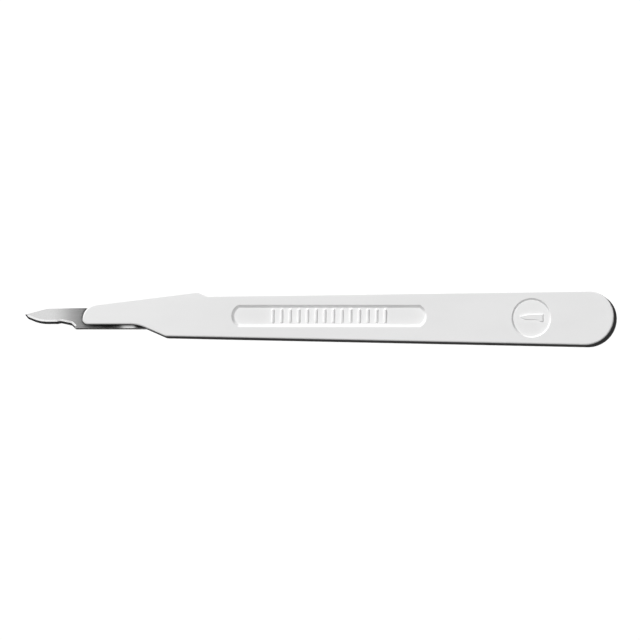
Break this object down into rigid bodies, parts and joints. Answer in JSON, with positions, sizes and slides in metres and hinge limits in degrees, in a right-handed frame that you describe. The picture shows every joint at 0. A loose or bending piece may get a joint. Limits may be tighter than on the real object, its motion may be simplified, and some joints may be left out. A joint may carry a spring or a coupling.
{
  "type": "disposable scalpel",
  "caption": "Disposable scalpel: flat moulded plastic handle with a finger stop and recessed panels, and a small curved steel blade staked under its tongue.",
  "frame": {"origin": "under the middle of the whole scalpel, on the surface that the handle's back lies on", "axes": "+X from the blade towards the round tail, +Y towards the blade's spine and the finger stop, +Z out of the face with the ribbed panel"},
  "size_m": [0.15, 0.0138, 0.0046],
  "materials": {
    "handle_plastic": "satin moulded",
    "blade_steel": "ground strip"
  },
  "bodies": {
    "root": {"handle": "handle_plastic", "blade": "blade_steel"}
  },
  "joints": []
}
